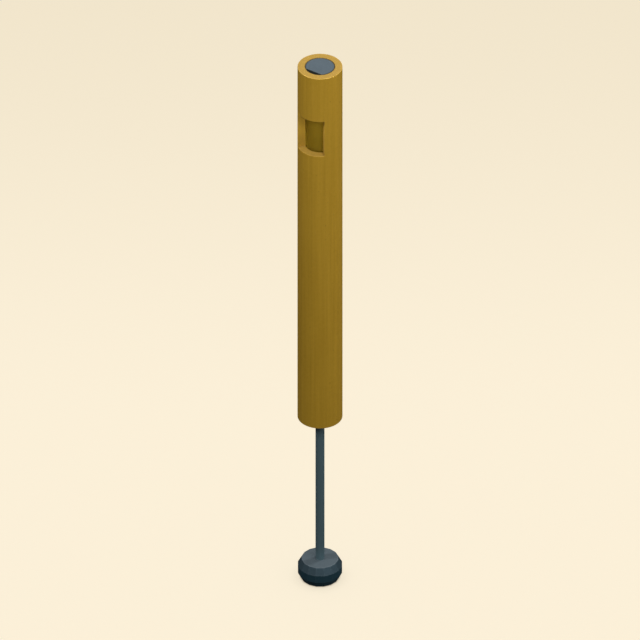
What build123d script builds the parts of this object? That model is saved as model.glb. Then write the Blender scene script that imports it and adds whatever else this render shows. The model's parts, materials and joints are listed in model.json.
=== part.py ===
from build123d import *
import math
import os

# Slide whistle standing on its knob, in millimetres. The origin is the centre of the knob's foot,
# +Z runs up the tube to the mouth end, and the sound window faces -Y.

# Tube
tube_diameter = 20.0
bore_diameter = 13.0
tube_length = 189.0
tube_edge_round = 0.3

# Sound window, and the windway that blows across it
windway_length = 23.3
windway_height = 1.55
window_height = 18.6
window_angle = 90.0
plug_edge_chamfer = 0.15

# Rod, drawn out of the tube as it stands
rod_diameter = 4.0
rod_drawn_out = 76.7
rod_end_chamfer = 0.4
rod_proud_of_nut = 1.2

# Faceted knob and the set screw below the rod's end
knob_diameter = 20.0
knob_sides = 16
knob_band_height = 3.8
knob_slope_height = 3.05
knob_slope_width = 1.65
grub_length = 4.0
grub_recess = 0.5
grub_socket = 2.0
grub_socket_depth = 1.8

# Piston
core_length = 9.0
core_edge_chamfer = 0.4
ring_section = 1.8
ring_side_room = 0.2
ring_inset = 1.2
grease_groove_width = 1.4
grease_groove_depth = 0.5

# Nuts and washers on the rod's thread
nut_across_flats = 7.0
nut_height = 3.2
nut_face_share = 0.94
washer_thickness = 1.0
lock_washer_diameter = 7.6
lock_washer_thickness = 0.9
lock_washer_split = 0.8
lock_washer_slant = 20.0

# Tail end of the bore
tail_land = 1.5
snap_ring_thickness = 1.0
snap_ring_width = 1.1
snap_groove_depth = 0.3
snap_ring_mouth = 3.6
snap_lug_radius = 1.2
snap_lug_hole = 1.2
wiper_washer_thickness = 0.8
wiper_diameter = 8.0
wiper_length = 3.0
bush_length = 12.0
bush_edge_chamfer = 0.4
bumper_thickness = 2.0

# Clearances
seat_gap = 0.02
running_gap = 0.05
core_gap = 0.2
washer_gap = 0.5
hole_gap = 0.15
stop_gap = 0.3
window_margin = 4.0

# Radii
tube_radius = tube_diameter / 2
bore_radius = bore_diameter / 2
rod_radius = rod_diameter / 2
washer_radius = bore_radius - washer_gap
washer_hole_radius = rod_radius + hole_gap
thread_hole_radius = rod_radius + seat_gap
core_radius = bore_radius - core_gap
ring_outer_radius = bore_radius - running_gap
ring_centre_radius = ring_outer_radius - ring_section / 2
groove_root_radius = ring_outer_radius - ring_section - running_gap
groove_width = ring_section + 2 * ring_side_room
snap_groove_radius = bore_radius + snap_groove_depth

# Heights of the knob and the tube
knob_height = 2 * knob_slope_height + knob_band_height
tube_bottom = knob_height + rod_drawn_out
tube_top = tube_bottom + tube_length
window_top = tube_top - windway_length
window_bottom = window_top - window_height
rod_bottom = grub_recess + grub_length

# Heights of the tail end, from the tube's end upwards
snap_ring_bottom = tube_bottom + tail_land
wiper_washer_bottom = snap_ring_bottom + snap_ring_thickness
bush_bottom = wiper_washer_bottom + wiper_washer_thickness
bush_top = bush_bottom + bush_length
bumper_top = bush_top + bumper_thickness

# Heights of the piston, from the rod's tip downwards. Pushed right in, the tip stops under the window.
push_in = rod_drawn_out - stop_gap
rod_tip = window_bottom - window_margin - push_in
front_nut_bottom = rod_tip - rod_proud_of_nut - nut_height
lock_washer_bottom = front_nut_bottom - lock_washer_thickness
front_washer_bottom = lock_washer_bottom - washer_thickness
core_bottom = front_washer_bottom - core_length
back_washer_bottom = core_bottom - washer_thickness
back_nut_bottom = back_washer_bottom - nut_height
pull_out = back_nut_bottom - bumper_top - stop_gap
ring_lower_height = core_bottom + ring_inset + groove_width / 2
ring_upper_height = core_bottom + core_length - ring_inset - groove_width / 2

ON_BASE = (Align.CENTER, Align.CENTER, Align.MIN)


def rod_of(radius, bottom, length):
    """Round bar on the whistle's axis."""
    return Pos(0, 0, bottom) * Cylinder(radius, length, align=ON_BASE)


def ring_of(outer_radius, inner_radius, bottom, length):
    """Round ring on the whistle's axis."""
    return rod_of(outer_radius, bottom, length) - rod_of(inner_radius, bottom, length)


def barrel_tube():
    """Tube with rounded ends, the sound window in its front and the snap ring's groove in its tail."""
    tube = ring_of(tube_radius, bore_radius, tube_bottom, tube_length)
    tube = fillet(tube.edges().filter_by(GeomType.CIRCLE), tube_edge_round)
    window = Cylinder(
        tube_diameter, window_height, arc_size=window_angle, align=(Align.NONE, Align.NONE, Align.MIN)
    )
    window = Pos(0, 0, window_bottom) * Rot(0, 0, -90 - window_angle / 2) * window
    groove_height = snap_ring_thickness + seat_gap
    groove = ring_of(snap_groove_radius, bore_radius - snap_groove_depth, snap_ring_bottom, groove_height)
    return tube - window - groove


def fipple_plug():
    """Plug that fills the mouth end down to the window, with a flat that leaves the windway open."""
    plug = rod_of(bore_radius - seat_gap, window_top, windway_length)
    plug = chamfer(plug.edges().filter_by(GeomType.CIRCLE), plug_edge_chamfer)
    windway = Pos(0, windway_height - bore_radius, window_top) * Box(
        bore_diameter, bore_diameter, windway_length, align=(Align.CENTER, Align.MAX, Align.MIN)
    )
    return plug - windway


def slide_rod():
    """Plain rod from the knob's thread to the piston's nut, chamfered at both ends."""
    rod = rod_of(rod_radius, rod_bottom, rod_tip - rod_bottom)
    return chamfer(rod.edges().filter_by(GeomType.CIRCLE), rod_end_chamfer)


def knob():
    """Faceted drum with a sloped edge above and below, tapped right through for the rod."""
    band_radius = knob_diameter / 2
    face_radius = band_radius - knob_slope_width

    def outline(radius, height):
        return Pos(0, 0, height) * RegularPolygon(radius, knob_sides)

    band_bottom = knob_slope_height
    band_top = band_bottom + knob_band_height
    lower_slope = loft([outline(face_radius, 0), outline(band_radius, band_bottom)], ruled=True)
    band = extrude(outline(band_radius, band_bottom), knob_band_height)
    upper_slope = loft([outline(band_radius, band_top), outline(face_radius, knob_height)], ruled=True)
    drum = lower_slope + band + upper_slope
    return drum - rod_of(thread_hole_radius, 0, knob_height)


def knob_grub_screw():
    """Set screw with a hexagon socket in its lower end, tight against the rod."""
    screw = rod_of(rod_radius, grub_recess, grub_length)
    screw = chamfer(screw.edges().filter_by(GeomType.CIRCLE), rod_end_chamfer)
    socket_outline = RegularPolygon(grub_socket / 2, 6, major_radius=False)
    return screw - extrude(Pos(0, 0, grub_recess) * socket_outline, grub_socket_depth)


def hex_nut(bottom):
    """Hexagon nut with its corners turned down at both faces."""
    flat_radius = nut_across_flats / 2
    corner_radius = flat_radius / math.cos(math.pi / 6)
    face_radius = flat_radius * nut_face_share
    corner_drop = (corner_radius - face_radius) * math.tan(math.radians(30))
    half_outline = Polyline(
        (0, 0),
        (face_radius, 0),
        (corner_radius, corner_drop),
        (corner_radius, nut_height - corner_drop),
        (face_radius, nut_height),
        (0, nut_height),
        close=True,
    )
    turned = revolve(Plane.XZ * make_face(half_outline), Axis.Z)
    hexagon = extrude(RegularPolygon(flat_radius, 6, major_radius=False), nut_height)
    return Pos(0, 0, bottom) * (hexagon & turned) - rod_of(thread_hole_radius, bottom, nut_height)


def plain_washer(bottom):
    """Flat washer that backs the piston."""
    return ring_of(washer_radius, washer_hole_radius, bottom, washer_thickness)


def lock_washer():
    """Split spring washer, pressed flat under the nut."""
    washer = ring_of(lock_washer_diameter / 2, washer_hole_radius, lock_washer_bottom, lock_washer_thickness)
    split_height = lock_washer_bottom + lock_washer_thickness / 2
    split = Box(
        lock_washer_split,
        lock_washer_diameter,
        3 * lock_washer_thickness,
        align=(Align.CENTER, Align.MIN, Align.CENTER),
    )
    return washer - Pos(0, 0, split_height) * Rot(0, lock_washer_slant, 0) * split


def piston_core():
    """Piston with a groove for each sealing ring and a shallow one between them for grease."""
    core = rod_of(core_radius, core_bottom, core_length)
    core = chamfer(core.edges().filter_by(GeomType.CIRCLE), core_edge_chamfer)
    core -= rod_of(washer_hole_radius, core_bottom, core_length)
    for height in (ring_lower_height, ring_upper_height):
        core -= ring_of(bore_radius, groove_root_radius, height - groove_width / 2, groove_width)
    middle = core_bottom + core_length / 2 - grease_groove_width / 2
    core -= ring_of(bore_radius, core_radius - grease_groove_depth, middle, grease_groove_width)
    return core


def piston_ring(height):
    """Round-section sealing ring."""
    return Pos(0, 0, height) * Torus(ring_centre_radius, ring_section / 2)


def tail_bush():
    """Guide bush pressed in the tail, with a pocket for the felt wiper in its lower end."""
    bush = rod_of(bore_radius - seat_gap, bush_bottom, bush_length)
    bush = chamfer(bush.edges().filter_by(GeomType.CIRCLE), bush_edge_chamfer)
    bush -= rod_of(rod_radius + running_gap, bush_bottom, bush_length)
    return bush - rod_of(wiper_diameter / 2, bush_bottom, wiper_length)


def tail_snap_ring():
    """Open spring ring with two drilled lugs, seated in its groove behind the tail end."""
    outer_radius = snap_groove_radius - seat_gap
    inner_radius = outer_radius - snap_ring_width
    lug_radius_out = inner_radius - snap_lug_radius / 2
    lug_x = snap_ring_mouth / 2 + snap_lug_radius
    lug_y = math.sqrt(lug_radius_out**2 - lug_x**2)
    mouth = Pos(0, 0, snap_ring_bottom) * Box(
        snap_ring_mouth, 2 * outer_radius, snap_ring_thickness, align=(Align.CENTER, Align.MIN, Align.MIN)
    )
    ring = ring_of(outer_radius, inner_radius, snap_ring_bottom, snap_ring_thickness) - mouth
    for side in (-1, 1):
        place = Pos(side * lug_x, lug_y, 0)
        ring += place * rod_of(snap_lug_radius, snap_ring_bottom, snap_ring_thickness)
        ring -= place * rod_of(snap_lug_hole / 2, snap_ring_bottom, snap_ring_thickness)
    return ring


nodes = {
    "barrel_tube": barrel_tube(),
    "fipple_plug": fipple_plug(),
    "slide_rod": slide_rod(),
    "knob": knob(),
    "knob_grub_screw": knob_grub_screw(),
    "front_nut": hex_nut(front_nut_bottom),
    "lock_washer": lock_washer(),
    "front_washer": plain_washer(front_washer_bottom),
    "piston_core": piston_core(),
    "piston_ring_lower": piston_ring(ring_lower_height),
    "piston_ring_upper": piston_ring(ring_upper_height),
    "back_washer": plain_washer(back_washer_bottom),
    "back_nut": hex_nut(back_nut_bottom),
    "tail_bush": tail_bush(),
    "rod_wiper": ring_of(wiper_diameter / 2 - seat_gap, rod_radius + running_gap, bush_bottom, wiper_length),
    "wiper_washer": ring_of(
        bore_radius - core_gap, washer_hole_radius, wiper_washer_bottom, wiper_washer_thickness
    ),
    "tail_snap_ring": tail_snap_ring(),
    "bumper_washer": ring_of(bore_radius - core_gap, rod_radius + washer_gap, bush_top, bumper_thickness),
}

os.makedirs("parts", exist_ok=True)
for name, solid in nodes.items():
    export_step(solid, f"parts/{name}.step")

print(f"height {tube_top:.1f} mm, plunger travel {-pull_out:.2f} to {push_in:.2f} mm")
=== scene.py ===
import json
import math

import bmesh
import bpy
from bpy.props import FloatProperty, FloatVectorProperty, IntProperty, PointerProperty
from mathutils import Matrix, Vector, noise


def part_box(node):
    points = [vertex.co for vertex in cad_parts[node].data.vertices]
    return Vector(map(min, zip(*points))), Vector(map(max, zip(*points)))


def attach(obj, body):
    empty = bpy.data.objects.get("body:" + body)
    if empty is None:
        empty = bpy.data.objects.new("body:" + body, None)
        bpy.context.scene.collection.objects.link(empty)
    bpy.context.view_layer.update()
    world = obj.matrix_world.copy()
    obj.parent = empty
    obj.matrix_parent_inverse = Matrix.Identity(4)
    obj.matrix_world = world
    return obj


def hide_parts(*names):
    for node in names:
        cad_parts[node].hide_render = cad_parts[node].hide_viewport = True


bl_info = {
    "name": "Slide Whistle",
    "version": (1, 0, 0),
    "blender": (4, 5, 0),
    "location": "View3D > Sidebar > Whistle",
    "description": "Builds the visible pieces of a slide whistle round its CAD frame and finishes them",
    "category": "Object",
}

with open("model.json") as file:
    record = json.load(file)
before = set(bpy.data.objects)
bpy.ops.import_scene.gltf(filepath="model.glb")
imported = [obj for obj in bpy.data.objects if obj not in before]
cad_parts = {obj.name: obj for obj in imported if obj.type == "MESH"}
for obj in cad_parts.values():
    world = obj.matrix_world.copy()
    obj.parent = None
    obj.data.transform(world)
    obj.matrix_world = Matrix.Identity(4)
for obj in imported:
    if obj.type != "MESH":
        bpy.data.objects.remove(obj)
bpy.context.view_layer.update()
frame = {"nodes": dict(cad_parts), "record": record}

METRE_IN_MM = 1000.0

# Mesh making: distances in metres, and angles between two faces that count as an edge
MERGE_DISTANCE = 1e-7
ON_FACE = 1e-6
SHADING_BREAK = math.radians(35)
SQUARE_EDGE = math.radians(60)
PLUG_EDGE = math.radians(25)
FACET_EDGE = math.radians(12)

# Thread: start and end of the crest as shares of the pitch, and spare turns that are cut off again
THREAD_CREST = (0.42, 0.58)
SPARE_BELOW, SPARE_ABOVE = 2, 1

# Felt: longest edge that stays whole in metres, cuts in a longer one, and tufts to the metre
FELT_LONG_EDGE = 0.0006
FELT_CUTS = 6
FELT_TUFTS = 2600.0

# Finishes: bump heights in metres, gloss of the metals, and how much duller and less metallic a square face is
DRAWN_DEPTH = 0.000012
TURNED_DEPTH = 0.000010
FINE_DEPTH = 0.000008
FELT_DEPTH = 0.00008
METAL_GLOSS = 0.25
SQUARE_DULL = 0.24
SQUARE_METAL = 0.4

# Masks: two distances in millimetres from an edge, a face or the axis, where a mask starts and where it is full
EDGE_RUB = (0.55, 0.1)
RIM_RUB = (0.75, 0.15)
TUBE_END = (0.05, 0.02)
SKIN = (0.5, 0.1)
OFF_SKIN = (0.05, 0.2)
BORE_FACE = (0.3, 0.05)
OFF_BORE = (0.05, 0.25)
SEAM_WIDTH = (0.55, 0.15)
SEAM_DEPTH = (1.2, 0.6)
WINDWAY_START = (-0.4, 0.4)
WINDOW_FRONT = (-1.0, -3.0)
ABOVE_BOTTOM = (-0.3, 0.0)
BELOW_TOP = (0.3, 0.0)
BETWEEN_SIDES = (0.2121, 0.0)
SILL_FACE = (0.08, 0.03)
OFF_SILL = (0.02, 0.08)
CORNER_HEIGHT = (11.0, 1.0)
CORNER_WIDTH = (2.2, 0.3)
END_FACE = (0.08, 0.02)
PLUG_RUB_WIDTH = (0.5, 0.1)
PLUG_RUB_DEPTH = (0.6, 0.1)
PLUG_SEAM = (0.45, 0.05)
PLUG_FLAT = (0.3, 0.05)
FACET_RUB = (0.34, 0.08)
RING_RUB = (0.5, 0.15)
SLOPE_START = (-0.1, 0.1)

# Marks: two levels of a noise, where a mark starts and where it is full
TUBE_SCRATCHES = (0.66, 0.74)
ROD_SCRATCHES = (0.66, 0.75)
HAND_MARKS = (0.69, 0.76)
SPECKS = (0.74, 0.79)
TUBE_WEAR = (0.25, 0.6)
PLUG_WEAR = (0.35, 0.65)
KNOB_WEAR = (0.35, 0.62)
ROD_POLISH = (0.55, 0.8)
GREASE = (0.5, 0.68)
PALE_FIBRES = (0.42, 0.7)

# Knob: radius of a ring halfway between its corners and its flats, as a share of its corner radius
RING_MEAN = 0.99

# Stage: sides of the floor, reach of the camera in metres, half of the horizon's soft edge, rays of the floor's shade
FLOOR_SIDES = 96
CAMERA_REACH = 100.0
HORIZON_BLUR = 0.05
SHADE_RAYS = 4

# Lamps: turn from the camera and rise over the floor in degrees, and the setting that holds the power
LAMPS = (
    ("left_lamp", -75.0, 40.0, "left_power"),
    ("front_lamp", 0.0, 36.5, "front_power"),
    ("key_lamp", 30.0, 45.0, "key_power"),
    ("side_lamp", 60.0, 12.0, "side_power"),
    ("back_lamp", 125.0, 45.0, "back_power"),
)

tube_low, tube_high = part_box("barrel_tube")
plug_low, plug_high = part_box("fipple_plug")
rod_low, rod_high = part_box("slide_rod")
knob_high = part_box("knob")[1]
back_nut_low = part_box("back_nut")[0]
snap_ring_low, snap_ring_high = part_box("tail_snap_ring")


# Sizes and colours


def length(name, description, default):
    """Property for a length in metres."""
    return FloatProperty(
        name=name, description=description, default=default, min=0.0, unit="LENGTH", subtype="DISTANCE", precision=5
    )


def share(name, description, default):
    """Property for a share from 0 to 1."""
    return FloatProperty(name=name, description=description, default=default, min=0.0, max=1.0, subtype="FACTOR")


def power(name, description, default):
    """Property for a light's power in watts."""
    return FloatProperty(name=name, description=description, default=default, min=0.0, unit="POWER")


def colour(name, description, default):
    """Property for a linear colour."""
    return FloatVectorProperty(
        name=name, description=description, default=default, min=0.0, max=1.0, size=3, subtype="COLOR"
    )


class BarrelSettings(bpy.types.PropertyGroup):
    """Brass tube with the sound window."""

    bore_radius: length("Bore radius", "Inside radius of the tube", 0.0065)
    window_angle: FloatProperty(
        name="Window angle",
        description="Part of the wall that the sound window takes out",
        default=math.radians(90),
        subtype="ANGLE",
    )
    window_height: length("Window height", "Height of the sound window", 0.0186)
    window_break: length("Window edge", "Width of the broken edge round the window", 0.00018)
    end_round: length("End rounding", "Radius of the tube's rounded ends", 0.00016)
    groove_room: length("Groove room", "Room round the snap ring in its groove", 0.00002)
    steps: IntProperty(name="Steps", description="Faces round the tube", default=160, min=16, step=8)
    brass: colour("Brass", "Clean satin brass", (0.674, 0.398, 0.040))
    # Partly painted shade: this colour is the brass's own patina, and also darkens the tube towards the tail as less
    # light reaches it there.
    deep_brass: colour("Deep brass", "Brass that has darkened in the air", (0.409, 0.232, 0.0157))
    bright_brass: colour("Bright brass", "Brass rubbed bright on the edges", (0.76, 0.50, 0.12))
    # Painted shade: the brass inside the tube is coloured darker than the outside, standing in for the shade in the
    # bore.
    shaded_bore_brass: colour("Bore brass", "Honed brass inside the tube", (0.46, 0.305, 0.0235))
    end_brass: colour("End brass", "Paler brass of the faces cut square to the tube", (0.334, 0.208, 0.051))
    # Partly painted shade: the window's upright sides are a duller cut face, and this colour also darkens them
    # against the light bounced into the window.
    cut_brass_and_shade: colour("Cut brass", "Dull brass of the window's upright sides", (0.536, 0.318, 0.037))
    # Partly painted shade: this brown colour marks the specks and the sill's film, and also darkens the windway, the
    # seam round the plug and the window's lower corners as shade.
    tarnish_and_shade: colour("Tarnish", "Brown film in the corners", (0.060, 0.040, 0.014))
    roughness: share("Roughness", "Roughness of the satin finish", 0.46)
    metal: share("Metal", "Share of the metal's own reflection", 0.55)


class PlungerSettings(bpy.types.PropertyGroup):
    """Dark plug, rod and knob."""

    knob_sides: IntProperty(name="Knob sides", description="Facets round the knob", default=16, min=3)
    knob_slope_height: length("Slope height", "Height of the knob's upper slope", 0.00325)
    knob_slope_width: length("Slope width", "Width of the knob's upper slope", 0.00175)
    knob_foot_height: length("Foot height", "Height of the knob's lower slope", 0.00305)
    knob_foot_width: length("Foot width", "Width of the knob's lower slope", 0.0015)
    knob_break: length("Knob edge", "Width of the broken edges of the facets", 0.00012)
    knob_hole_radius: length("Knob hole", "Radius of the hole for the rod", 0.00202)
    plug_break: length("Plug edge", "Width of the plug's broken edges", 0.00015)
    rod_chamfer: length("Rod chamfer", "Chamfer at the rod's ends", 0.0004)
    thread_pitch: length("Thread pitch", "Pitch of the rod's thread", 0.0007)
    thread_depth: length("Thread depth", "Depth of the rod's thread", 0.0004)
    steps: IntProperty(name="Steps", description="Faces round the rod", default=96, min=16, step=8)
    plug_steps: IntProperty(name="Plug steps", description="Faces round the plug", default=90, min=16)
    gunmetal: colour("Gunmetal", "Turned end faces of the plug and the knob", (0.097, 0.127, 0.149))
    gunmetal_dark: colour("Dark gunmetal", "Darker patches of the end faces", (0.069, 0.093, 0.1115))
    gunmetal_worn: colour("Worn gunmetal", "Bare metal on the rubbed edges", (0.27, 0.31, 0.33))
    # Painted shade: the knob's facets and upper slope are coloured darker than its top, standing in for the shade on
    # its sides; the slope lies between the two.
    knob_side: colour("Knob side", "Blackened facets of the knob", (0.024, 0.0695, 0.0956))
    knob_slope: colour("Knob slope", "Upper slope of the knob, rubbed by the fingers", (0.034, 0.0604, 0.0778))
    # Partly painted shade: this dark colour darkens the seam and the windway's flat on the plug and dims the knob's
    # top as shade, and marks patchy dirt on the knob's facets.
    grime_and_shade: colour("Grime", "Film in the seams and the windway", (0.030, 0.036, 0.030))
    rod: colour("Rod", "Blued rod", (0.130, 0.210, 0.238))
    rod_dark: colour("Dark rod", "Darker patches of the rod", (0.098, 0.1615, 0.186))
    roughness: share("Roughness", "Roughness of the satin finish", 0.44)
    metal: share("Metal", "Share of the metal's own reflection", 0.6)


class InsideSettings(bpy.types.PropertyGroup):
    """Fasteners, plastic, rubber and felt inside the tube."""

    steel: colour("Steel", "Nuts, washers, set screw and snap ring", (0.42, 0.43, 0.44))
    steel_roughness: share("Steel roughness", "Roughness of the rolled steel", 0.34)
    steel_metal: share("Steel metal", "Share of the steel's own reflection", 0.9)
    plastic: colour("Plastic", "Bush and piston", (0.020, 0.020, 0.022))
    plastic_roughness: share("Plastic roughness", "Roughness of the turned plastic", 0.48)
    rubber: colour("Rubber", "Sealing rings", (0.016, 0.016, 0.017))
    rubber_roughness: share("Rubber roughness", "Roughness of the moulded rubber", 0.66)
    felt: colour("Felt", "Wiper and stop", (0.36, 0.035, 0.030))
    felt_pale: colour("Pale felt", "Paler fibres of the felt", (0.52, 0.11, 0.085))
    felt_roughness: share("Felt roughness", "Roughness of the felt", 0.92)
    felt_sheen: share("Felt sheen", "Soft sheen of the fibres", 0.35)
    felt_steps: IntProperty(name="Felt steps", description="Faces round the felt rings", default=96, min=16)
    wiper_room: length("Wiper room", "Gap between the rod and the felt wiper", 0.00005)
    stop_room: length("Stop room", "Gap between the rod and the felt stop", 0.0005)
    felt_round: length("Felt rounding", "Rounding of the felt rings' edges", 0.0003)
    felt_fuzz: length("Felt fuzz", "Unevenness of the felt's faces", 0.00007)


class StageSettings(bpy.types.PropertyGroup):
    """Floor, light and camera."""

    azimuth: FloatProperty(
        name="Azimuth", description="Camera's turn round the whistle", default=math.radians(33.69), subtype="ANGLE"
    )
    elevation: FloatProperty(
        name="Elevation", description="Camera's height over the horizon", default=math.radians(34.74), subtype="ANGLE"
    )
    view_width: length("View width", "Width of the picture at the whistle", 0.28444)
    aim_height: length("Aim height", "Height on the axis at the picture's centre", 0.13844)
    camera_distance: length("Camera distance", "Distance from the camera to the axis", 1.5)
    floor_radius: length("Floor radius", "Size of the round floor", 12.0)
    floor_gap: length("Floor gap", "Gap between the floor and the knob", 0.00003)
    floor: colour("Floor", "Pale cream floor", (0.96, 0.862, 0.682))
    # Painted fall-off of light: the floor is coloured darker behind the whistle.
    floor_far: colour("Far floor", "Floor behind the whistle", (0.872, 0.776, 0.594))
    fade_start: length("Fade start", "Distance behind the whistle where the floor begins to darken", 0.1)
    fade_end: length("Fade end", "Distance behind the whistle where the floor is darkest", 0.5)
    # Painted shadow: a soft shade and a dark contact line round the knob's foot, drawn into the floor's colour from
    # its occlusion.
    floor_shaded: colour("Shaded floor", "Floor in the soft shade round the knob", (0.845, 0.759, 0.600))
    shade_reach: length("Shade reach", "How far the soft shade reaches", 0.005)
    floor_contact_shadow: colour("Floor contact", "Floor close under the knob's edge", (0.43, 0.375, 0.29))
    contact_shadow_reach: length("Contact reach", "How far the dark line at the knob's foot reaches", 0.0008)
    floor_glow: FloatProperty(name="Floor glow", description="Light from under the floor", default=1.942, min=0.0)
    floor_shade: share("Floor shade", "Share of the floor that takes shadow", 0.55)
    sky: colour("Light from above", "Soft light from above", (0.2485, 0.2485, 0.2485))
    below: colour("Light from below", "Soft light from below", (0.030, 0.030, 0.030))
    left_power: power("Left lamp", "Power of the lamp at the left", 4.17)
    front_power: power("Front lamp", "Power of the lamp in front", 3.15)
    key_power: power("Key lamp", "Power of the lamp at the right in front", 2.35)
    side_power: power("Side lamp", "Power of the low lamp at the right", 2.67)
    back_power: power("Back lamp", "Power of the lamp at the right behind", 4.06)
    lamp_size: length("Lamp size", "Width of each round lamp", 0.2)
    lamp_distance: length("Lamp distance", "Distance from each lamp to the barrel", 0.9)
    lamp_aim: length("Lamp aim", "Height on the barrel that the lamps face", 0.2)


# Shader maths


class Signal:
    """A shader socket that takes part in Python sums. Each operator adds one Math node."""

    def __init__(self, nodes, socket):
        self.nodes = nodes
        self.socket = socket

    def math(self, operation, first, second=0.0):
        """One Math node on two values."""
        return self.nodes.node("ShaderNodeMath", {"operation": operation}, {0: first, 1: second})

    def beside(self, output):
        """Another output of the same node."""
        return Signal(self.nodes, self.socket.node.outputs[output])

    def __add__(self, other):
        return self.math("ADD", self, other)

    __radd__ = __add__

    def __sub__(self, other):
        return self.math("SUBTRACT", self, other)

    def __rsub__(self, other):
        return self.math("SUBTRACT", other, self)

    def __mul__(self, other):
        return self.math("MULTIPLY", self, other)

    __rmul__ = __mul__

    def __pow__(self, other):
        return self.math("POWER", self, other)

    def __rpow__(self, other):
        return self.math("POWER", other, self)

    def __abs__(self):
        return self.math("ABSOLUTE", self)

    def least(self, other):
        """The smaller of two values."""
        return self.math("MINIMUM", self, other)

    def most(self, other):
        """The larger of two values."""
        return self.math("MAXIMUM", self, other)


class Nodes:
    """A node tree, and the nodes that a material and the soft light share."""

    def __init__(self, tree):
        self.tree = tree
        self.tree.nodes.clear()

    def node(self, kind, settings=None, sockets=None, output=0):
        """Adds a node: its type, its settings, the values or links of its sockets, and the output that is wanted."""
        made = self.tree.nodes.new(kind)
        for name, value in (settings or {}).items():
            setattr(made, name, value)
        for name, value in (sockets or {}).items():
            if isinstance(value, Signal):
                self.tree.links.new(value.socket, made.inputs[name])
            else:
                made.inputs[name].default_value = value
        return None if output is None else Signal(self, made.outputs[output])

    def ramp(self, value, low, high):
        """Smooth step, 0 at low and 1 at high, which may be the other way round."""
        sockets = {"Value": value, "From Min": low, "From Max": high}
        return self.node("ShaderNodeMapRange", {"interpolation_type": "SMOOTHSTEP"}, sockets)

    def blend(self, first, second, factor):
        """Colour between two colours. A Mix node's colours are its sockets 6 and 7, and come out of socket 2."""
        first, second = (tuple(c) + (1.0,) if not isinstance(c, Signal) else c for c in (first, second))
        return self.node("ShaderNodeMix", {"data_type": "RGBA"}, {0: factor, 6: first, 7: second}, 2)

    def scaled(self, vector, factors):
        """A place stretched along each axis, or a colour dimmed."""
        return self.node("ShaderNodeVectorMath", {"operation": "MULTIPLY"}, {0: vector, 1: factors}, "Vector")


class Finish(Nodes):
    """One procedural material, with places in millimetres in the whistle's own frame."""

    def __init__(self, name):
        self.material = bpy.data.materials.new(name)
        self.material.use_nodes = True
        super().__init__(self.material.node_tree)
        self.place = self.scaled(self.node("ShaderNodeTexCoord", output="Object"), (METRE_IN_MM,) * 3)
        self.x = self.node("ShaderNodeSeparateXYZ", {}, {"Vector": self.place}, "X")
        self.y = self.x.beside("Y")
        self.z = self.x.beside("Z")
        self.radius = (self.x * self.x + self.y * self.y) ** 0.5

    def grain(self, scale, detail, stretch=None, distortion=0.0):
        """Noise from 0 to 1 with about scale features to the millimetre."""
        place = self.place if stretch is None else self.scaled(self.place, stretch)
        sockets = {"Vector": place, "Scale": scale, "Detail": detail, "Distortion": distortion}
        return self.node("ShaderNodeTexNoise", {}, sockets, "Fac")

    def rings(self, value, scale, detail):
        """Noise that only changes along one value, for turning marks."""
        sockets = {"W": value, "Scale": scale, "Detail": detail}
        return self.node("ShaderNodeTexNoise", {"noise_dimensions": "1D"}, sockets, "Fac")

    def openness(self, reach):
        """Share of the half-space over the surface that is free within a distance in metres."""
        return self.node("ShaderNodeAmbientOcclusion", {"samples": SHADE_RAYS}, {"Distance": reach}, "AO")

    def surface(self, base, roughness, metallic, height=None, depth=0.0, **others):
        """Joins the surface shader to the output. Depth is the height of the bumps in metres."""
        sockets = {"Base Color": base, "Roughness": roughness, "Metallic": metallic}
        if height is not None:
            sockets["Normal"] = self.node("ShaderNodeBump", {}, {"Height": height, "Distance": depth}, "Normal")
        sockets.update({name.replace("_", " "): value for name, value in others.items()})
        shader = self.node("ShaderNodeBsdfPrincipled", {}, sockets, "BSDF")
        self.node("ShaderNodeOutputMaterial", {}, {"Surface": shader}, None)
        return self.material


# Finishes


def mm(metres):
    """Metres as the millimetres that a finish works in."""
    return metres * METRE_IN_MM


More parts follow.
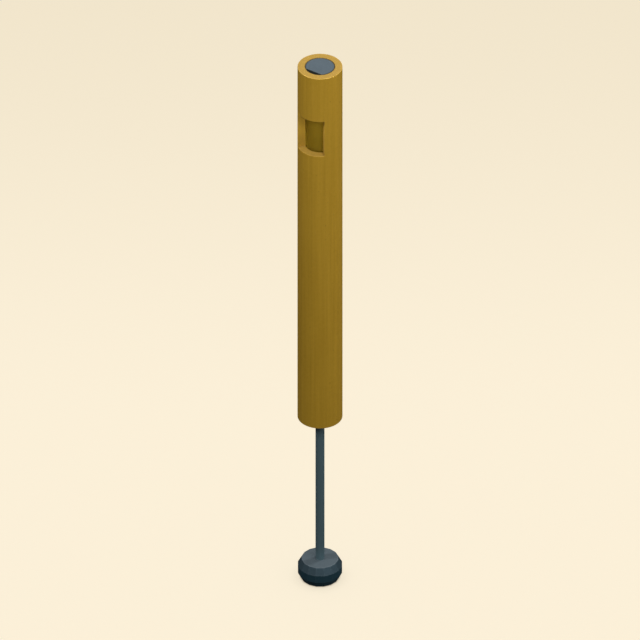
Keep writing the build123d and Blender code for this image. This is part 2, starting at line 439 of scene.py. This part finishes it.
def satin_brass(settings):
    """Drawn brass: faint lines along the tube, soft patina, edges rubbed bright. Darker towards the tail, partly
    patina and partly painted shade, with painted shade in the bore, the windway, the seam round the plug and the
    window's lower corners, and partly on the window's sides.
    """
    f = Finish("satin_brass")
    tail, mouth = mm(tube_low.z), mm(tube_high.z)
    window_top = mm(plug_low.z)
    window_bottom = window_top - mm(settings.window_height)
    half_window = settings.window_angle / 2

    drawn = f.grain(1.0, 3.0, (4.0, 4.0, 0.04))
    streaks = f.grain(1.0, 2.0, (0.8, 0.8, 0.012))
    scratches = f.ramp(f.grain(1.0, 1.0, (9.0, 9.0, 0.16)), *TUBE_SCRATCHES)
    hand_marks = f.ramp(f.grain(1.0, 1.0, (0.5, 0.5, 7.0)), *HAND_MARKS)
    clouds = f.grain(0.07, 3.0, (1.0, 1.0, 0.55), 0.6)
    mottle = f.grain(0.6, 4.0)
    specks = f.ramp(f.grain(1.1, 1.0), *SPECKS)

    to_end = (mouth - f.z).least(f.z - tail)
    to_skin = mm(tube_high.x) - f.radius
    to_bore = f.radius - mm(settings.bore_radius)
    over_sill = f.z - window_bottom
    over_top = f.z - window_top
    past_side = abs(f.x) * math.cos(half_window) + f.y * math.sin(half_window)
    to_side = abs(past_side)

    rim = f.ramp(abs(to_end) + abs(to_skin), *RIM_RUB)
    beside = f.ramp(to_side, *EDGE_RUB) * f.ramp(f.y, *WINDOW_FRONT)
    in_height = f.ramp(over_sill, *ABOVE_BOTTOM) * f.ramp(over_top, *BELOW_TOP)
    to_sill = abs(over_sill).least(abs(over_top))
    in_angle = f.ramp(past_side, *BETWEEN_SIDES)
    window_edge = (beside * in_height).most(f.ramp(to_sill, *EDGE_RUB) * in_angle)
    skin = f.ramp(to_skin, *SKIN)
    rubbed = (rim.most(window_edge * skin) * f.ramp(mottle, *TUBE_WEAR)).least(1.0)

    # Darker towards the tail: partly patina, partly painted shade of the light falling off along the tube.
    down = f.ramp(f.z, mouth, tail)
    bore = f.ramp(to_bore, *BORE_FACE)
    in_windway = f.ramp(over_top, *WINDWAY_START)
    seam = f.ramp(to_bore, *SEAM_WIDTH) * f.ramp(mouth - f.z, *SEAM_DEPTH)
    # Painted shade in the windway and in the seam round the plug.
    grime_and_shade = (bore * in_windway).most(seam)
    inside = bore * (1 - in_windway)

    in_wall = f.ramp(to_bore, *OFF_BORE) * f.ramp(to_skin, *OFF_SKIN)
    sill = f.ramp(abs(over_sill), *SILL_FACE) * in_angle * in_wall
    upright = f.ramp(over_sill, *OFF_SILL) * in_height * in_wall
    # Painted shade in the window's lower corners and at the ends of the sill.
    corner_shade = upright * f.ramp(over_sill, *CORNER_HEIGHT)
    corner_shade = corner_shade.most(sill * f.ramp(to_side, *CORNER_WIDTH))

    on_end = f.ramp(abs(to_end), *TUBE_END)
    square = on_end.most(sill)
    turned_marks = f.rings(f.radius, 3.2, 3.0)
    lines = drawn * 0.4 + streaks * 0.6
    marks = (lines - 0.5) * 1.1 + on_end * ((turned_marks - 0.5) * 0.5 - (lines - 0.5) * 1.1)
    aged_and_shaded = 0.29 + down * 0.16 + (clouds - 0.5) * 0.6 + (mottle - 0.5) * 0.3 + marks
    base = f.blend(settings.brass, settings.deep_brass, aged_and_shaded)
    base = f.blend(base, settings.end_brass, on_end * 0.7 + sill * 0.5)
    # Duller cut sides, also darkened as painted shade.
    base = f.blend(base, settings.cut_brass_and_shade, upright * 0.7)
    base = f.blend(base, settings.bright_brass, rubbed * 0.22 + scratches * 0.16 + hand_marks * 0.12)
    # Painted shade inside the bore.
    base = f.blend(base, settings.shaded_bore_brass, inside)
    # Brown specks and film on the sill, with painted shade in the windway, the seam round the plug and the window's
    # lower corners.
    film = (specks * 0.35).most(grime_and_shade * 0.8).most(sill * 0.22).most(corner_shade * 0.35)
    base = f.blend(base, settings.tarnish_and_shade, film)
    roughness = settings.roughness + (mottle - 0.5) * 0.14 + (clouds - 0.5) * 0.16 - rubbed * 0.03
    roughness = roughness + square * SQUARE_DULL
    height = drawn * 0.7 + on_end * (turned_marks - drawn * 0.7) + mottle * 0.3 - (scratches + hand_marks) * 0.5
    metallic = settings.metal - inside.most(upright).most(square) * SQUARE_METAL
    return f.surface(base, roughness, metallic, height, DRAWN_DEPTH, Specular_IOR_Level=METAL_GLOSS)


def gunmetal(settings):
    """Dark satin metal of the plug: turned end faces, cloudy sides, rubbed edges, and painted shade at the seam round
    it and on the windway's flat.
    """
    f = Finish("plug_gunmetal")
    top, bottom = mm(plug_high.z), mm(plug_low.z)
    clouds = f.grain(0.22, 3.0, None, 0.4)
    fine = f.grain(3.5, 3.0)
    turned_marks = f.rings(f.radius, 3.2, 3.0)
    on_end = f.ramp(abs(f.z - top).least(abs(f.z - bottom)), *END_FACE)
    drawn = f.grain(1.0, 2.0, (6.0, 6.0, 0.1))
    marks = drawn + on_end * (turned_marks - drawn)
    to_side = mm(plug_high.x) - f.radius
    edge = f.ramp(to_side, *PLUG_RUB_WIDTH) * f.ramp(abs(f.z - top), *PLUG_RUB_DEPTH)
    rubbed = edge * f.ramp(fine, *PLUG_WEAR)
    shade = clouds * 0.7 + (fine - 0.5) * 0.35 + (marks - 0.5) * 0.9
    base = f.blend(settings.gunmetal, settings.gunmetal_dark, shade)
    base = f.blend(base, settings.gunmetal_worn, rubbed * 0.15)
    # Painted shade at the seam round the plug and on the windway's flat, with the dark colour.
    rim = f.ramp(to_side, *PLUG_SEAM)
    flat = f.ramp(f.y - mm(plug_low.y), *PLUG_FLAT)
    base = f.blend(base, settings.grime_and_shade, rim.most(flat) * 0.8)
    roughness = settings.roughness + (clouds - 0.5) * 0.16 + (fine - 0.5) * 0.10 + on_end * SQUARE_DULL
    metallic = settings.metal - on_end * SQUARE_METAL
    height = marks * 0.7 + fine * 0.3
    return f.surface(base, roughness, metallic, height, TURNED_DEPTH, Specular_IOR_Level=METAL_GLOSS)


def knob_gunmetal(settings):
    """Dark satin metal of the knob: turned end faces, fine grain, facet edges rubbed to bare metal. Its facets and
    upper slope are painted darker than its top as shade, and its top is dimmed with painted shade.
    """
    f = Finish("knob_gunmetal")
    top = mm(knob_high.z)
    slope_height, foot_height = mm(settings.knob_slope_height), mm(settings.knob_foot_height)
    face_radius = mm(knob_high.x - settings.knob_slope_width)
    foot_radius = mm(knob_high.x - settings.knob_foot_width)
    turn = 2 * math.pi / settings.knob_sides
    clouds = f.grain(0.18, 3.0, None, 0.5)
    fine = f.grain(4.0, 3.0)
    turned_marks = f.rings(f.radius, 2.6, 3.0)
    milled = f.grain(1.0, 2.0, (0.35, 0.35, 5.0))
    on_end = f.ramp((top - f.z).least(f.z), *END_FACE)
    marks = milled + on_end * (turned_marks - milled)

    angle = f.node("ShaderNodeMath", {"operation": "ARCTAN2"}, {0: f.y, 1: f.x})
    to_corner = abs(f.node("ShaderNodeMath", {"operation": "PINGPONG"}, {0: angle, 1: turn / 2})) * f.radius
    corner = f.ramp(to_corner, *FACET_RUB) * (1 - on_end)
    over_band = f.z - (top - slope_height)
    to_ring = abs(over_band).least(abs(f.z - foot_height))
    ring = f.ramp(to_ring, *FACET_RUB)
    to_face = abs(f.radius - face_radius * RING_MEAN) + (top - f.z)
    to_foot = abs(f.radius - foot_radius * RING_MEAN) + f.z
    end_ring = f.ramp(to_face.least(to_foot), *RING_RUB)
    rubbed = (corner * 0.35).most(ring * 0.7).most(end_ring) * f.ramp(f.grain(0.9, 3.0), *KNOB_WEAR)
    # Painted shade: the upper slope is coloured between the lit top and the darker facets, and is also made rougher.
    upper_slope = f.ramp(over_band, *SLOPE_START)

    shade = clouds * 0.7 + (fine - 0.5) * 0.3 + (marks - 0.5) * 0.9
    base = f.blend(settings.gunmetal, settings.gunmetal_dark, shade)
    # Painted shade on the facets, lighter on the upper slope.
    side = f.blend(settings.knob_side, settings.knob_slope, upper_slope)
    # Painted shade: the knob's top is dimmed with the dark colour, as it gets less light by the floor than the plug's
    # top.
    face = f.blend(base, settings.grime_and_shade, 0.25)
    base = f.blend(f.blend(side, settings.grime_and_shade, shade * 0.3), face, on_end)
    base = f.blend(base, settings.gunmetal_worn, rubbed * 0.12)
    roughness = settings.roughness + (clouds - 0.5) * 0.16 + (fine - 0.5) * 0.12 - rubbed * 0.08 + upper_slope * 0.22
    metallic = settings.metal - on_end * SQUARE_METAL
    height = marks * 0.7 + fine * 0.3
    return f.surface(base, roughness, metallic, height, TURNED_DEPTH, Specular_IOR_Level=METAL_GLOSS)


def rod_gunmetal(settings):
    """Blued rod, drawn lengthwise and lightly polished by the bush."""
    f = Finish("rod_gunmetal")
    drawn = f.grain(1.0, 2.0, (7.0, 7.0, 0.05))
    clouds = f.grain(0.12, 3.0, (1.0, 1.0, 0.4), 0.4)
    fine = f.grain(5.0, 3.0)
    scratches = f.ramp(f.grain(1.0, 1.0, (11.0, 11.0, 0.22)), *ROD_SCRATCHES)
    rubbed = scratches * 0.4 + f.ramp(drawn, *ROD_POLISH) * 0.12
    base = f.blend(settings.rod, settings.rod_dark, clouds * 0.6 + (fine - 0.5) * 0.25)
    base = f.blend(base, settings.gunmetal_worn, rubbed)
    roughness = settings.roughness - 0.06 + (clouds - 0.5) * 0.18 + (drawn - 0.5) * 0.12
    return f.surface(base, roughness, settings.metal, drawn * 0.7 + fine * 0.3, FINE_DEPTH)


def fastener_steel(settings):
    """Plain steel with fine rolling marks and dull spots."""
    f = Finish("fastener_steel")
    clouds = f.grain(0.5, 3.0)
    fine = f.grain(6.0, 3.0)
    rolled = f.grain(1.0, 2.0, (1.2, 14.0, 14.0))
    dull = tuple(c * 0.62 for c in settings.steel)
    base = f.blend(settings.steel, dull, clouds * 0.6 + (fine - 0.5) * 0.5)
    roughness = settings.steel_roughness + (clouds - 0.5) * 0.22 + (rolled - 0.5) * 0.14
    return f.surface(base, roughness, settings.steel_metal, rolled * 0.6 + fine * 0.4, FINE_DEPTH)


def black_plastic(settings):
    """Turned black plastic with faint tool rings."""
    f = Finish("bush_plastic")
    rings = f.rings(f.z, 7.0, 2.0)
    fine = f.grain(5.0, 3.0)
    pale = tuple(c * 1.9 + 0.006 for c in settings.plastic)
    base = f.blend(settings.plastic, pale, fine * 0.5 + (rings - 0.5) * 0.4)
    roughness = settings.plastic_roughness + (fine - 0.5) * 0.2 + (rings - 0.5) * 0.15
    return f.surface(base, roughness, 0.0, rings * 0.7 + fine * 0.3, DRAWN_DEPTH)


def seal_rubber(settings):
    """Matt black rubber with a moulding skin and a trace of grease."""
    f = Finish("seal_rubber")
    fine = f.grain(7.0, 4.0)
    grease = f.ramp(f.grain(0.6, 3.0), *GREASE)
    dusty = tuple(c * 2.4 + 0.004 for c in settings.rubber)
    base = f.blend(settings.rubber, dusty, fine * 0.6)
    roughness = settings.rubber_roughness + (fine - 0.5) * 0.2 - grease * 0.28
    return f.surface(base, roughness, 0.0, fine, TURNED_DEPTH)


def pressed_felt(settings):
    """Pressed felt: tangled fibres of two shades with a soft sheen."""
    f = Finish("pressed_felt")
    fibres = f.grain(4.5, 5.0, (1.0, 1.0, 2.2), 1.6)
    tufts = f.grain(0.9, 3.0)
    pale = f.ramp(fibres, *PALE_FIBRES) * 0.7 + (tufts - 0.5) * 0.4
    base = f.blend(settings.felt, settings.felt_pale, pale)
    roughness = settings.felt_roughness + (tufts - 0.5) * 0.1
    height = fibres * 0.8 + tufts * 0.2
    return f.surface(base, roughness, 0.0, height, FELT_DEPTH, Sheen_Weight=settings.felt_sheen)


def floor_paper(settings):
    """Plain pale floor, lit partly from under it, a little darker behind the whistle as a painted fall-off of light,
    with a painted soft shadow and contact shadow round the knob.
    """
    f = Finish("floor_paper")
    # Painted fall-off of light: darker further behind the whistle.
    away = f.y * math.cos(settings.azimuth) - f.x * math.sin(settings.azimuth)
    faded = f.ramp(away, mm(settings.fade_start), mm(settings.fade_end))
    tone = f.blend(settings.floor, settings.floor_far, faded)
    # Painted shadow round the knob's foot: a soft shade and a dark contact line.
    tone = f.blend(settings.floor_shaded, tone, f.openness(settings.shade_reach))
    tone = f.blend(settings.floor_contact_shadow, tone, f.openness(settings.contact_shadow_reach))
    lit = f.scaled(tone, (settings.floor_shade,) * 3)
    glow = (1 - settings.floor_shade) * settings.floor_glow
    return f.surface(lit, 1.0, 0.0, Emission_Color=tone, Emission_Strength=glow, Specular_IOR_Level=0.0)


# Shapes


def turned(bm, outline, steps, closed=True):
    """Spins an outline of (radius, height) points once round the whistle's axis."""
    points = [bm.verts.new((radius, 0.0, height)) for radius, height in outline]
    pairs = list(zip(points, points[1:]))
    if closed:
        pairs.append((points[-1], points[0]))
    edges = [bm.edges.new(pair) for pair in pairs]
    bmesh.ops.spin(
        bm,
        geom=points + edges,
        cent=(0.0, 0.0, 0.0),
        axis=(0.0, 0.0, 1.0),
        dvec=(0.0, 0.0, 0.0),
        angle=math.tau,
        steps=steps,
        use_merge=True,
        use_normal_flip=False,
        use_duplicate=False,
    )
    tidy(bm)


def tidy(bm):
    """Merges doubled points and turns every face outwards."""
    bmesh.ops.remove_doubles(bm, verts=bm.verts, dist=MERGE_DISTANCE)
    bmesh.ops.recalc_face_normals(bm, faces=bm.faces)


def break_edges(bm, edges, width, segments):
    """Rounds edges over by a small width."""
    bmesh.ops.bevel(
        bm,
        geom=edges,
        offset=width,
        offset_type="OFFSET",
        affect="EDGES",
        segments=segments,
        profile=0.5,
        clamp_overlap=True,
        material=-1,
    )


def across(point):
    """A point's distance from the whistle's axis."""
    return math.hypot(point.x, point.y)


def finished_piece(name, bm, body, node, material):
    """Makes a piece of a bmesh, which rides a body in place of a CAD node."""
    mesh = bpy.data.meshes.new(name)
    bm.to_mesh(mesh)
    bm.free()
    mesh.shade_smooth()
    mesh.set_sharp_from_angle(angle=SHADING_BREAK)
    mesh.materials.append(material)
    piece = bpy.data.objects.new(name, mesh)
    bpy.context.scene.collection.objects.link(piece)
    weighted = piece.modifiers.new("Flat faces", "WEIGHTED_NORMAL")
    weighted.keep_sharp = True
    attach(piece, body)
    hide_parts(node)
    return piece


def dress(node, material):
    """Gives a CAD node its finish."""
    frame["nodes"][node].material_slots[0].material = material


def barrel_shape(settings):
    """Tube with rounded ends, the sound window and the snap ring's groove."""
    radius, bore = tube_high.x, settings.bore_radius
    bottom, top = tube_low.z, tube_high.z
    window_top = plug_low.z
    window_bottom = window_top - settings.window_height
    groove_radius = snap_ring_high.x + settings.groove_room
    groove_bottom, groove_top = snap_ring_low.z, snap_ring_high.z + settings.groove_room
    bm = bmesh.new()
    outline = [
        (radius, bottom),
        (radius, window_bottom),
        (radius, window_top),
        (radius, top),
        (bore, top),
        (bore, window_top),
        (bore, window_bottom),
        (bore, groove_top),
        (groove_radius, groove_top),
        (groove_radius, groove_bottom),
        (bore, groove_bottom),
        (bore, bottom),
    ]
    turned(bm, outline, settings.steps)

    def in_window(point):
        turn = abs(math.atan2(point.x, -point.y))
        return window_bottom < point.z < window_top and turn < settings.window_angle / 2

    cut = [face for face in bm.faces if in_window(face.calc_center_median())]
    bmesh.ops.delete(bm, geom=cut, context="FACES")
    lips = [edge for edge in bm.edges if edge.is_boundary]
    bmesh.ops.bridge_loops(bm, edges=lips)
    bmesh.ops.recalc_face_normals(bm, faces=bm.faces)
    break_edges(bm, lips, settings.window_break, segments=2)

    def on_end(edge):
        at_end = all(min(abs(v.co.z - bottom), abs(v.co.z - top)) < ON_FACE for v in edge.verts)
        sharp = len(edge.link_faces) == 2 and edge.calc_face_angle() > SQUARE_EDGE
        return at_end and sharp

    ends = [edge for edge in bm.edges if on_end(edge)]
    break_edges(bm, ends, settings.end_round, segments=4)
    return bm


def plug_shape(settings):
    """Round plug with the flat that leaves the windway open."""
    bm = bmesh.new()
    bmesh.ops.create_circle(bm, cap_ends=True, radius=plug_high.x, segments=settings.plug_steps)
    bmesh.ops.translate(bm, verts=bm.verts, vec=(0.0, 0.0, plug_low.z))
    bmesh.ops.bisect_plane(
        bm,
        geom=bm.verts[:] + bm.edges[:] + bm.faces[:],
        plane_co=(0.0, plug_low.y, 0.0),
        plane_no=(0.0, -1.0, 0.0),
        clear_outer=True,
    )
    grown = bmesh.ops.extrude_face_region(bm, geom=bm.faces[:])["geom"]
    raised = [item for item in grown if isinstance(item, bmesh.types.BMVert)]
    bmesh.ops.translate(bm, verts=raised, vec=(0.0, 0.0, plug_high.z - plug_low.z))
    tidy(bm)
    sharp = [edge for edge in bm.edges if edge.calc_face_angle() > PLUG_EDGE]
    break_edges(bm, sharp, settings.plug_break, segments=2)
    return bm


def knob_shape(settings):
    """Faceted drum with a sloped edge above and below and a hole for the rod."""
    top, band_radius = knob_high.z, knob_high.x
    face_radius = band_radius - settings.knob_slope_width
    foot_radius = band_radius - settings.knob_foot_width
    levels = [
        (settings.knob_foot_height, band_radius),
        (top - settings.knob_slope_height, band_radius),
        (top, face_radius),
    ]
    bm = bmesh.new()
    bmesh.ops.create_circle(bm, cap_ends=True, radius=foot_radius, segments=settings.knob_sides)
    cap = bm.faces[:]
    last_height, last_radius = 0.0, foot_radius
    for height, radius in levels:
        grown = bmesh.ops.extrude_face_region(bm, geom=cap)["geom"]
        cap = [item for item in grown if isinstance(item, bmesh.types.BMFace)]
        corners = [item for item in grown if isinstance(item, bmesh.types.BMVert)]
        wider = radius / last_radius
        bmesh.ops.translate(bm, verts=corners, vec=(0.0, 0.0, height - last_height))
        bmesh.ops.scale(bm, verts=corners, vec=(wider, wider, 1.0))
        last_height, last_radius = height, radius
    ends = [face for face in bm.faces if len(face.verts) == settings.knob_sides]
    bmesh.ops.delete(bm, geom=ends, context="FACES_ONLY")
    tidy(bm)
    hole = []
    for height in (0.0, top):
        rim = [edge for edge in bm.edges if edge.is_boundary and abs(edge.verts[0].co.z - height) < ON_FACE]
        made = bmesh.ops.create_circle(bm, cap_ends=False, radius=settings.knob_hole_radius, segments=settings.steps)
        bmesh.ops.translate(bm, verts=made["verts"], vec=(0.0, 0.0, height))
        ring = list({edge for vert in made["verts"] for edge in vert.link_edges})
        bmesh.ops.triangle_fill(bm, use_beauty=True, use_dissolve=False, edges=rim + ring)
        hole += ring
    bmesh.ops.bridge_loops(bm, edges=hole)
    tidy(bm)
    sharp = [
        edge
        for edge in bm.edges
        if edge.calc_face_angle() > FACET_EDGE and across(edge.verts[0].co) > 2 * settings.knob_hole_radius
    ]
    break_edges(bm, sharp, settings.knob_break, segments=2)
    return bm


def threaded_length(settings, radius, bottom, top):
    """Closed stretch of screw thread between two heights, chamfered at both."""
    pitch, root = settings.thread_pitch, radius - settings.thread_depth
    crest_start, crest_end = THREAD_CREST
    turns = math.ceil((top - bottom) / pitch) + SPARE_BELOW + SPARE_ABOVE
    start = bottom - SPARE_BELOW * pitch
    bm = bmesh.new()
    points = []
    for turn in range(turns):
        for shift, distance in ((0.0, root), (crest_start, radius), (crest_end, radius)):
            points.append(bm.verts.new((distance, 0.0, start + (turn + shift) * pitch)))
    edges = [bm.edges.new(pair) for pair in zip(points, points[1:])]
    bmesh.ops.spin(
        bm,
        geom=points + edges,
        cent=(0.0, 0.0, 0.0),
        axis=(0.0, 0.0, 1.0),
        dvec=(0.0, 0.0, pitch / settings.steps),
        angle=math.tau,
        steps=settings.steps,
        use_merge=False,
        use_normal_flip=False,
        use_duplicate=False,
    )
    bmesh.ops.remove_doubles(bm, verts=bm.verts, dist=ON_FACE)
    for vert in bm.verts:
        limit = root + min(vert.co.z - bottom, top - vert.co.z)
        distance = across(vert.co)
        if root < limit < distance:
            vert.co.xy *= limit / distance
        elif limit <= root and distance > root:
            vert.co.xy *= root / distance
    for height, way in ((bottom, -1.0), (top, 1.0)):
        bmesh.ops.bisect_plane(
            bm,
            geom=bm.verts[:] + bm.edges[:] + bm.faces[:],
            plane_co=(0.0, 0.0, height),
            plane_no=(0.0, 0.0, way),
            clear_outer=True,
        )
    bmesh.ops.holes_fill(bm, edges=[edge for edge in bm.edges if edge.is_boundary], sides=0)
    tidy(bm)
    return bm


def rod_shape(settings):
    """Rod with a thread at each end, plain between the knob and the piston's nut."""
    radius = rod_high.x
    chamfer = settings.rod_chamfer
    plain_bottom, plain_top = knob_high.z - 2 * settings.thread_pitch, back_nut_low.z - settings.thread_pitch
    bm = bmesh.new()
    outline = [
        (0.0, plain_bottom),
        (radius - chamfer, plain_bottom),
        (radius, plain_bottom + chamfer),
        (radius, plain_top - chamfer),
        (radius - chamfer, plain_top),
        (0.0, plain_top),
    ]
    turned(bm, outline, settings.steps, closed=False)
    for bottom, top in ((rod_low.z, plain_bottom + chamfer), (plain_top - chamfer, rod_high.z)):
        thread = threaded_length(settings, radius, bottom, top)
        carried = bpy.data.meshes.new("thread")
        thread.to_mesh(carried)
        thread.free()
        bm.from_mesh(carried)
        bpy.data.meshes.remove(carried)
    return bm


def felt_shape(settings, node, hole_radius):
    """Felt ring with soft edges and slightly uneven faces, inside its CAD solid."""
    low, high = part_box(node)
    bm = bmesh.new()
    corners = [(hole_radius, low.z), (high.x, low.z), (high.x, high.z), (hole_radius, high.z)]
    turned(bm, corners, settings.felt_steps)
    square = [edge for edge in bm.edges if edge.calc_face_angle() > SQUARE_EDGE]
    break_edges(bm, square, settings.felt_round, segments=3)
    long = [edge for edge in bm.edges if edge.calc_length() > FELT_LONG_EDGE]
    bmesh.ops.subdivide_edges(bm, edges=long, cuts=FELT_CUTS, use_grid_fill=True)
    bmesh.ops.recalc_face_normals(bm, faces=bm.faces)
    bm.normal_update()
    for vert in bm.verts:
        uneven = noise.noise(vert.co * FELT_TUFTS) * 0.5 + 0.5
        vert.co -= vert.normal * settings.felt_fuzz * uneven
    return bm


# Operators


class WHISTLE_OT_barrel(bpy.types.Operator):
    """Brass tube with the sound window"""

    bl_idname = "whistle.barrel"
    bl_label = "Barrel"

    def execute(self, context):
        barrel = context.scene.whistle_barrel
        shape = barrel_shape(barrel)
        finished_piece("brass_barrel", shape, "barrel", "barrel_tube", satin_brass(barrel))
        return {"FINISHED"}


class WHISTLE_OT_plug(bpy.types.Operator):
    """Plug in the mouth end, with the windway's flat"""

    bl_idname = "whistle.plug"
    bl_label = "Plug"

    def execute(self, context):
        plunger = context.scene.whistle_plunger
        shape = plug_shape(plunger)
        finished_piece("windway_plug", shape, "barrel", "fipple_plug", gunmetal(plunger))
        return {"FINISHED"}


class WHISTLE_OT_rod(bpy.types.Operator):
    """Rod with its two threads"""

    bl_idname = "whistle.rod"
    bl_label = "Rod"

    def execute(self, context):
        plunger = context.scene.whistle_plunger
        shape = rod_shape(plunger)
        finished_piece("threaded_rod", shape, "plunger", "slide_rod", rod_gunmetal(plunger))
        return {"FINISHED"}


class WHISTLE_OT_knob(bpy.types.Operator):
    """Faceted knob"""

    bl_idname = "whistle.knob"
    bl_label = "Knob"

    def execute(self, context):
        plunger = context.scene.whistle_plunger
        shape = knob_shape(plunger)
        finished_piece("faceted_knob", shape, "plunger", "knob", knob_gunmetal(plunger))
        return {"FINISHED"}


class WHISTLE_OT_felt(bpy.types.Operator):
    """Felt wiper and felt stop at the tail"""

    bl_idname = "whistle.felt"
    bl_label = "Felt rings"

    def execute(self, context):
        inside = context.scene.whistle_inside
        felt = pressed_felt(inside)
        rings = (("felt_wiper", "rod_wiper", inside.wiper_room), ("felt_stop", "bumper_washer", inside.stop_room))
        for name, node, room in rings:
            shape = felt_shape(inside, node, rod_high.x + room)
            finished_piece(name, shape, "barrel", node, felt)
        return {"FINISHED"}


class WHISTLE_OT_inside(bpy.types.Operator):
    """Finishes of the fasteners, the plastic and the rubber"""

    bl_idname = "whistle.inside"
    bl_label = "Inside pieces"

    def execute(self, context):
        inside = context.scene.whistle_inside
        finishes = {
            "fastener_steel": fastener_steel(inside),
            "bush_plastic": black_plastic(inside),
            "seal_rubber": seal_rubber(inside),
        }
        for row in frame["record"]["subparts"]:
            if row["material_slot"] in finishes:
                dress(row["node"], finishes[row["material_slot"]])
        return {"FINISHED"}


class WHISTLE_OT_stage(bpy.types.Operator):
    """Floor, light and camera"""

    bl_idname = "whistle.stage"
    bl_label = "Stage"

    def execute(self, context):
        scene = context.scene
        stage = scene.whistle_stage
        scene.view_settings.view_transform = "Standard"

        floor = self.floor(scene, stage)
        self.sky(scene, stage)
        self.camera(scene, stage)

        unlit = bpy.data.collections.new("unlit")
        unlit.objects.link(floor)
        unlit.collection_objects[0].light_linking.link_state = "EXCLUDE"
        for name, turn, rise, power_name in LAMPS:
            lamp = self.lamp(scene, stage, name, math.radians(turn), math.radians(rise))
            lamp.data.energy = getattr(stage, power_name)
            lamp.light_linking.receiver_collection = unlit
        return {"FINISHED"}

    def floor(self, scene, stage):
        """Round floor just under the knob, which throws no light on the whistle."""
        bm = bmesh.new()
        bmesh.ops.create_circle(bm, cap_ends=True, radius=stage.floor_radius, segments=FLOOR_SIDES)
        bmesh.ops.translate(bm, verts=bm.verts, vec=(0.0, 0.0, -stage.floor_gap))
        mesh = bpy.data.meshes.new("floor")
        bm.to_mesh(mesh)
        bm.free()
        mesh.materials.append(floor_paper(stage))
        floor = bpy.data.objects.new("floor", mesh)
        floor.visible_diffuse = False
        floor.visible_glossy = False
        scene.collection.objects.link(floor)
        return floor

    def sky(self, scene, stage):
        """Soft light, brighter from above than from below."""
        world = bpy.data.worlds.new("soft_light")
        world.use_nodes = True
        scene.world = world
        nodes = Nodes(world.node_tree)
        way = nodes.node("ShaderNodeTexCoord", output="Generated")
        rise = nodes.node("ShaderNodeSeparateXYZ", {}, {"Vector": way}, "Z")
        light = nodes.blend(stage.below, stage.sky, nodes.ramp(rise, -HORIZON_BLUR, HORIZON_BLUR))
        background = nodes.node("ShaderNodeBackground", {}, {"Color": light}, "Background")
        nodes.node("ShaderNodeOutputWorld", {}, {"Surface": background}, None)

    def camera(self, scene, stage):
        """Camera without perspective, aimed at the axis."""
        data = bpy.data.cameras.new("camera")
        data.type = "ORTHO"
        data.ortho_scale = stage.view_width
        data.clip_end = CAMERA_REACH
        camera = bpy.data.objects.new("camera", data)
        self.put_round(camera, stage.azimuth, stage.elevation, stage.aim_height, stage.camera_distance)
        scene.collection.objects.link(camera)
        scene.camera = camera

    def lamp(self, scene, stage, name, turn, rise):
        """Round lamp that faces the barrel."""
        light = bpy.data.lights.new(name, "AREA")
        light.shape = "DISK"
        light.size = stage.lamp_size
        lamp = bpy.data.objects.new(name, light)
        self.put_round(lamp, stage.azimuth + turn, rise, stage.lamp_aim, stage.lamp_distance)
        scene.collection.objects.link(lamp)
        return lamp

    def put_round(self, made, turn, rise, aim, distance):
        """Puts a camera or a lamp at a turn and a rise round the whistle, facing a height on its axis."""
        way = Vector((math.sin(turn) * math.cos(rise), -math.cos(turn) * math.cos(rise), math.sin(rise)))
        made.location = Vector((0.0, 0.0, aim)) + way * distance
        made.rotation_mode = "QUATERNION"
        made.rotation_quaternion = way.to_track_quat("Z", "Y")


class WHISTLE_PT_pieces(bpy.types.Panel):
    """Pieces of the slide whistle"""

    bl_idname = "WHISTLE_PT_pieces"
    bl_label = "Slide whistle"
    bl_space_type = "VIEW_3D"
    bl_region_type = "UI"
    bl_category = "Whistle"

    def draw(self, context):
        for operator in OPERATORS:
            self.layout.operator(operator.bl_idname)


OPERATORS = (
    WHISTLE_OT_barrel,
    WHISTLE_OT_plug,
    WHISTLE_OT_rod,
    WHISTLE_OT_knob,
    WHISTLE_OT_felt,
    WHISTLE_OT_inside,
    WHISTLE_OT_stage,
)
SETTINGS = {
    "whistle_barrel": BarrelSettings,
    "whistle_plunger": PlungerSettings,
    "whistle_inside": InsideSettings,
    "whistle_stage": StageSettings,
}


def register():
    """Adds the settings, the operators and the panel to Blender."""
    for settings in SETTINGS.values():
        bpy.utils.register_class(settings)
    for operator in OPERATORS:
        bpy.utils.register_class(operator)
    bpy.utils.register_class(WHISTLE_PT_pieces)
    for name, settings in SETTINGS.items():
        setattr(bpy.types.Scene, name, PointerProperty(type=settings))


def unregister():
    """Takes the panel, the operators and the settings out again."""
    for name in SETTINGS:
        delattr(bpy.types.Scene, name)
    bpy.utils.unregister_class(WHISTLE_PT_pieces)
    for operator in reversed(OPERATORS):
        bpy.utils.unregister_class(operator)
    for settings in reversed(SETTINGS.values()):
        bpy.utils.unregister_class(settings)


def main():
    """Makes the pieces and the stage in order."""
    register()
    for operator in OPERATORS:
        group, name = operator.bl_idname.split(".")
        getattr(getattr(bpy.ops, group), name)()


if __name__ == "__main__":
    main()
